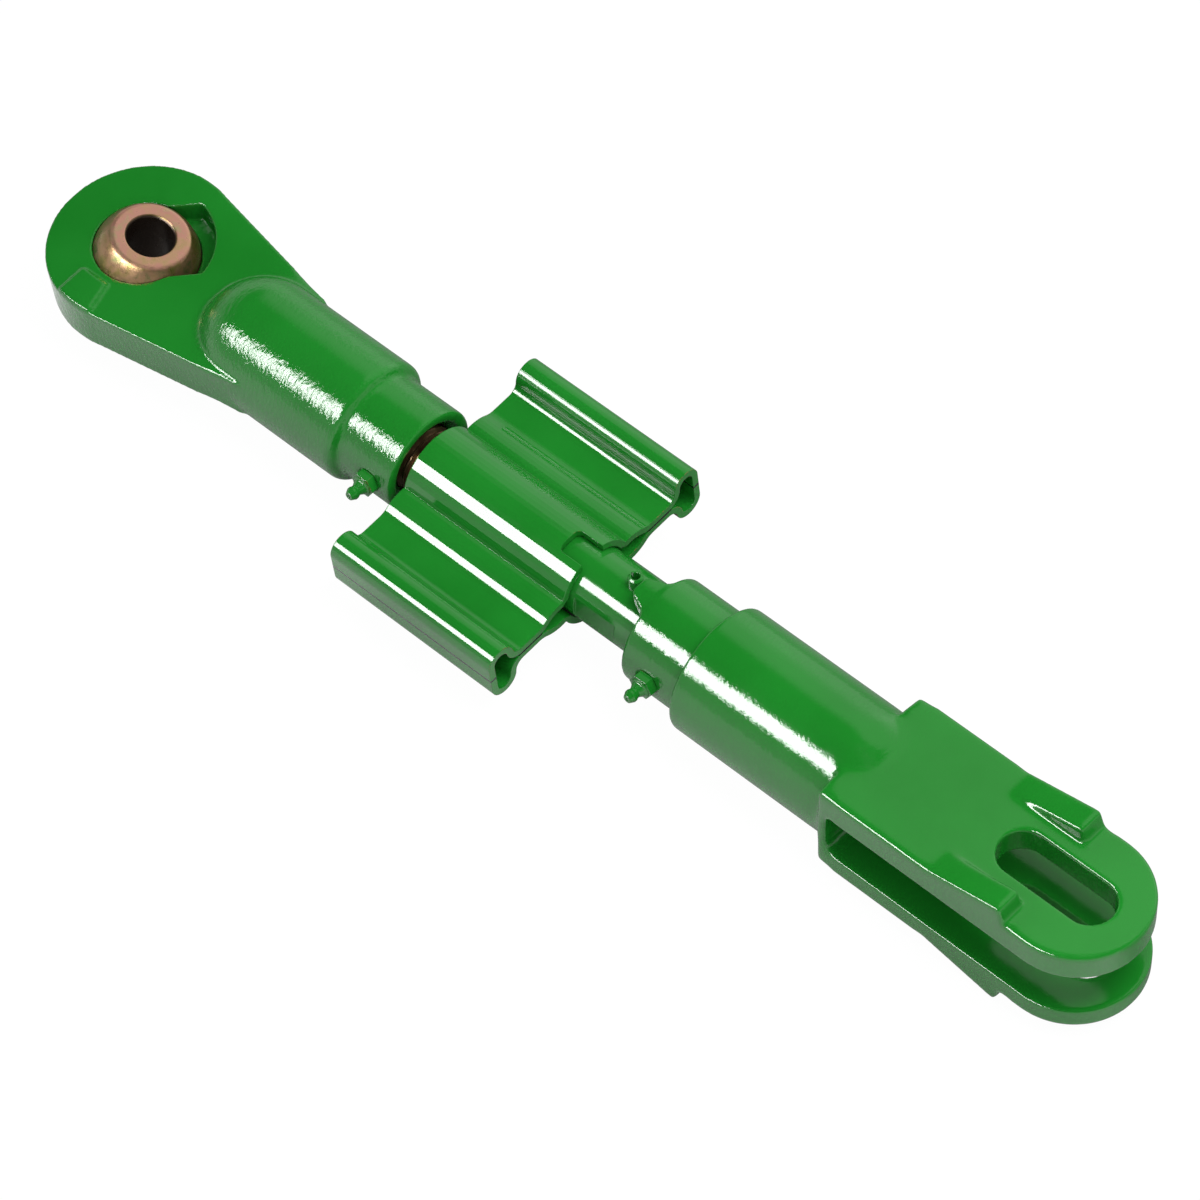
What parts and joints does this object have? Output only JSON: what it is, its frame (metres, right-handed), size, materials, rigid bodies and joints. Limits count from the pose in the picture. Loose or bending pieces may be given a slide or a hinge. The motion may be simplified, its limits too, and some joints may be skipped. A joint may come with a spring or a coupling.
{
  "type": "three-point lift link",
  "caption": "Adjustable lift link with a swivel ball eye, a screw turned by a folded sheet-metal handle, and a slotted fork that swivels on the screw.",
  "frame": {"origin": "centre of the swivel ball, on the axis of its pin bore", "axes": "+X along the link from the ball towards the fork, +Z square to the fork's plates, +Y across the link, with the grease fittings on the -Y side"},
  "size_m": [0.7239, 0.156, 0.078],
  "materials": {
    "green_paint": "gloss",
    "green_sheet": "gloss",
    "ball_zinc": "yellow zinc plate",
    "screw_paint": "gloss",
    "pin_paint": "gloss",
    "fitting_paint": "gloss",
    "spring_steel": "bright"
  },
  "bodies": {
    "upper_half": {"upper_link": "green_paint", "upper_fitting_body": "fitting_paint", "upper_fitting_spring": "spring_steel"},
    "ball": {"swivel_ball": "ball_zinc"},
    "lower_half": {"lower_link": "green_paint", "swivel_collar": "green_paint", "lower_fitting_body": "fitting_paint", "lower_fitting_spring": "spring_steel"},
    "screw": {"lift_screw": "screw_paint", "spring_pin": "pin_paint"},
    "handle": {"handle_top_shell": "green_sheet", "handle_bottom_shell": "green_sheet"},
    "upper_check": {"upper_fitting_ball": "spring_steel"},
    "lower_check": {"lower_fitting_ball": "spring_steel"}
  },
  "joints": [
    {"name": "length_adjust", "type": "slide", "parent": "upper_half", "child": "lower_half", "axis": [1, 0, 0], "range_m": [0, 0.08467]},
    {"name": "screw_turn", "type": "hinge", "parent": "lower_half", "child": "screw", "pos_m": [0.4, 0, 0], "axis": [1, 0, 0], "range_deg": [0, 7201]},
    {"name": "handle_slide", "type": "slide", "parent": "screw", "child": "handle", "axis": [1, 0, 0], "range_m": [-0.004, 0.0354]},
    {"name": "ball_tilt", "type": "hinge", "parent": "upper_half", "child": "ball", "pos_m": [0, 0, 0], "axis": [0, 1, 0], "range_deg": [-30, 5]},
    {"name": "upper_check_lift", "type": "slide", "parent": "upper_half", "child": "upper_check", "axis": [0, 1, 0], "range_m": [0, 0.001], "stiffness_N_per_m": 400, "springref_m": -0.001, "deforming": ["upper_fitting_spring"]},
    {"name": "lower_check_lift", "type": "slide", "parent": "lower_half", "child": "lower_check", "axis": [0, 1, 0], "range_m": [0, 0.001], "stiffness_N_per_m": 400, "springref_m": -0.001, "deforming": ["lower_fitting_spring"]}
  ],
  "couplings": [
    {"joint": "screw_turn", "follows": "length_adjust", "rad_per_m": 1484.2}
  ]
}
